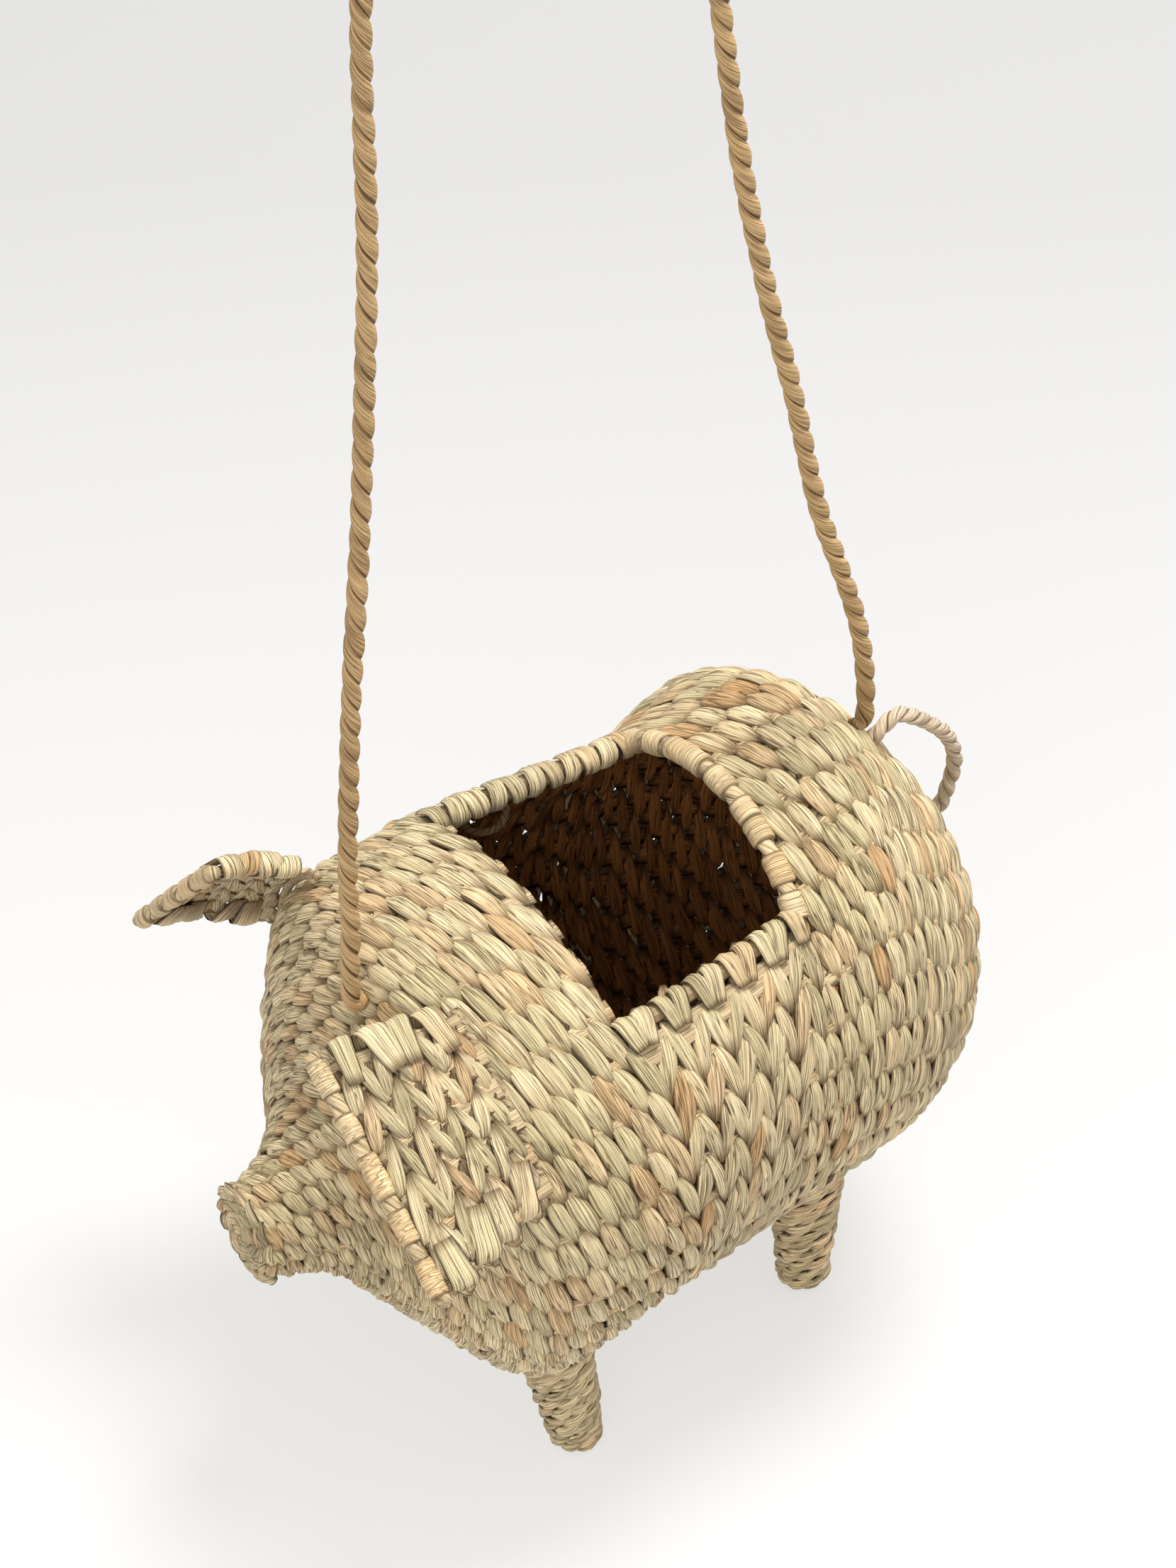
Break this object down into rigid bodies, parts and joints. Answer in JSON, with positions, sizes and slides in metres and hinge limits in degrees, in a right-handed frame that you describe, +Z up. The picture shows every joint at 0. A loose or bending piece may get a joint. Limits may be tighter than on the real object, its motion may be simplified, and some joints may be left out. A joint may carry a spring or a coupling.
{
  "type": "woven pig basket bag",
  "caption": "Pig-shaped shoulder basket woven from bulrush leaf, open along its back, with flap ears, cone legs, a looped cord tail and a long rope strap.",
  "frame": {"origin": "on the floor plane, under the middle of the basket's box", "axes": "+X towards the rump and the tail, so the snout faces -X; +Y to the pig's right; +Z up"},
  "size_m": [0.327, 0.2456, 0.7667],
  "materials": {
    "bulrush_weave": "dry twined bulrush leaf",
    "ear_weave": "dry plaited bulrush leaf",
    "leg_weave": "tight twined bulrush leaf",
    "rim_wrap": "flat leaf wrapped round a cord",
    "edge_stake": "folded leaf",
    "strap_rope": "two-ply twisted leaf rope",
    "tail_cord": "two-ply twisted leaf cord",
    "leg_straw": "bundled straw, ends cut flat"
  },
  "bodies": {
    "basket": {"woven_body": "bulrush_weave", "rear_rim_binding": "rim_wrap", "left_rim_stake": "edge_stake", "right_rim_stake": "edge_stake", "left_ear": "ear_weave", "right_ear": "ear_weave", "left_ear_edge": "rim_wrap", "right_ear_edge": "rim_wrap", "left_ear_lashing": "edge_stake", "right_ear_lashing": "edge_stake", "front_left_leg": "leg_weave", "front_right_leg": "leg_weave", "rear_left_leg": "leg_weave", "rear_right_leg": "leg_weave", "front_left_leg_core": "leg_straw", "front_right_leg_core": "leg_straw", "rear_left_leg_core": "leg_straw", "rear_right_leg_core": "leg_straw", "strap_front_knot": "strap_rope", "strap_rear_knot": "strap_rope", "tail_loop": "tail_cord", "tail_upper_knot": "tail_cord", "tail_lower_knot": "tail_cord", "closure_loop": "strap_rope"},
    "strap": {"strap": "strap_rope"}
  },
  "joints": [
    {"name": "strap_swing", "type": "hinge", "parent": "basket", "child": "strap", "pos_m": [-0.11251, 0, 0.23213], "axis": [0.9928, 0, 0.1198], "range_deg": [-50, 50]}
  ]
}
